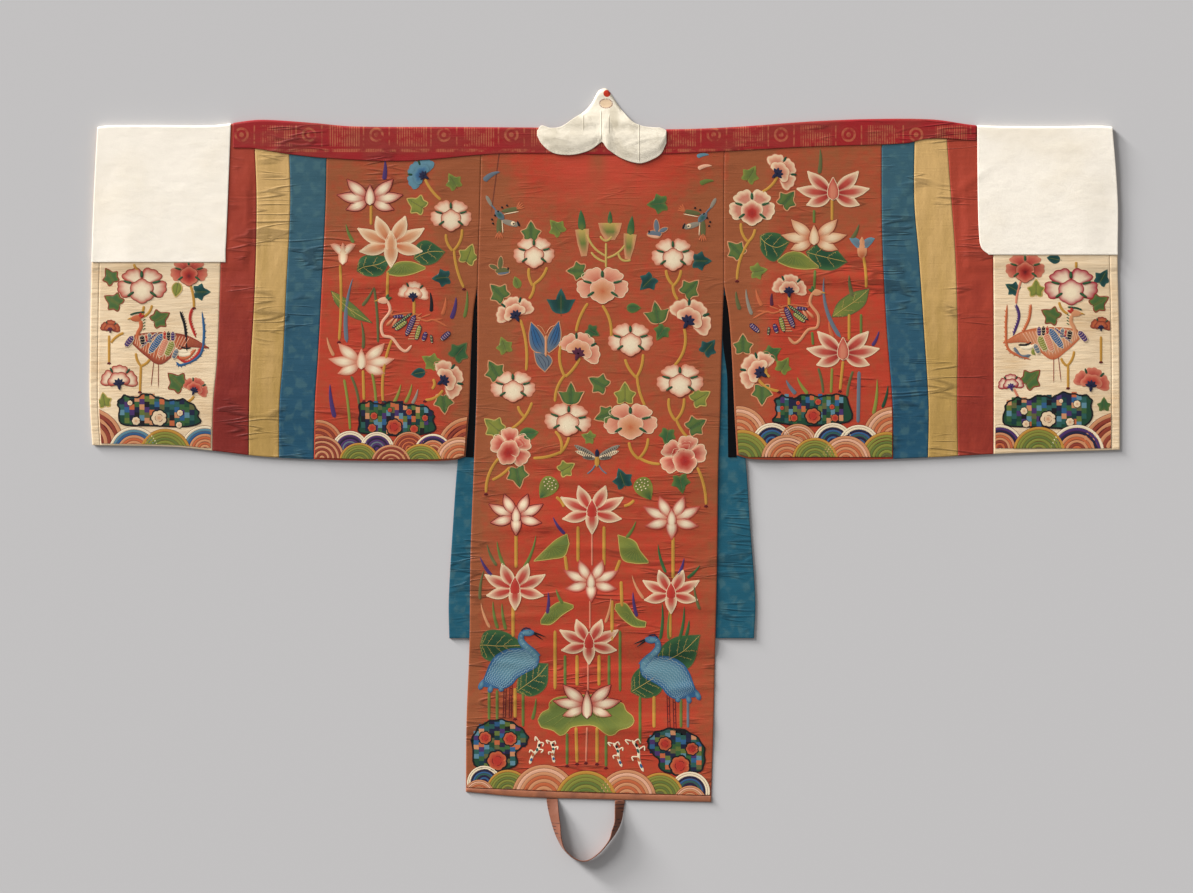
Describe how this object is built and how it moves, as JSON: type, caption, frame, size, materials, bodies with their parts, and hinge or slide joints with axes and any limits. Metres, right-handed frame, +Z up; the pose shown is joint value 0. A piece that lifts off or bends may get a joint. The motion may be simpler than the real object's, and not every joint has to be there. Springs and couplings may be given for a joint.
{
  "type": "korean bridal robe laid flat",
  "caption": "Wide-sleeved embroidered silk bridal robe laid flat with its back up: striped sleeves, broad cuffs, white covers, split sides and a hanging loop.",
  "frame": {"origin": "under the middle of the robe's overall box, on the surface that it lies on", "axes": "+X along the sleeves to the right of the picture of its back, +Y towards the neck, +Z up off the surface"},
  "size_m": [1.8031, 1.3533, 0.0177],
  "materials": {
    "crimson_silk": "satin silk, faded towards the seams",
    "blue_silk": "ribbed silk with a soft sheen",
    "yellow_silk": "ribbed silk with a soft sheen",
    "red_silk": "ribbed silk with a soft sheen",
    "cream_silk": "satin silk under embroidery",
    "gilt_silk": "gauze with worn gold-leaf frames",
    "white_cotton": "matte starched cotton",
    "black_silk": "matte",
    "hem_silk": "folded silk strip, matte"
  },
  "bodies": {
    "root": {"back_panel": "crimson_silk", "front_panel_L": "crimson_silk", "front_panel_R": "crimson_silk", "sleeve_L": "crimson_silk", "sleeve_R": "crimson_silk", "collar": "crimson_silk", "blue_band_L": "blue_silk", "blue_band_R": "blue_silk", "front_lining_L": "blue_silk", "front_lining_R": "blue_silk", "yellow_band_L": "yellow_silk", "yellow_band_R": "yellow_silk", "red_band_L": "red_silk", "red_band_R": "red_silk", "cuff_L": "cream_silk", "cuff_R": "cream_silk", "cuff_edge_L": "cream_silk", "cuff_edge_R": "cream_silk", "shoulder_band_L": "gilt_silk", "shoulder_band_R": "gilt_silk", "neck_band": "gilt_silk", "cuff_cover_L": "white_cotton", "cuff_cover_R": "white_cotton", "collar_cover": "white_cotton", "underarm_facing_L": "black_silk", "underarm_facing_R": "black_silk", "hem_binding": "hem_silk", "hanging_loop": "hem_silk"}
  },
  "joints": []
}
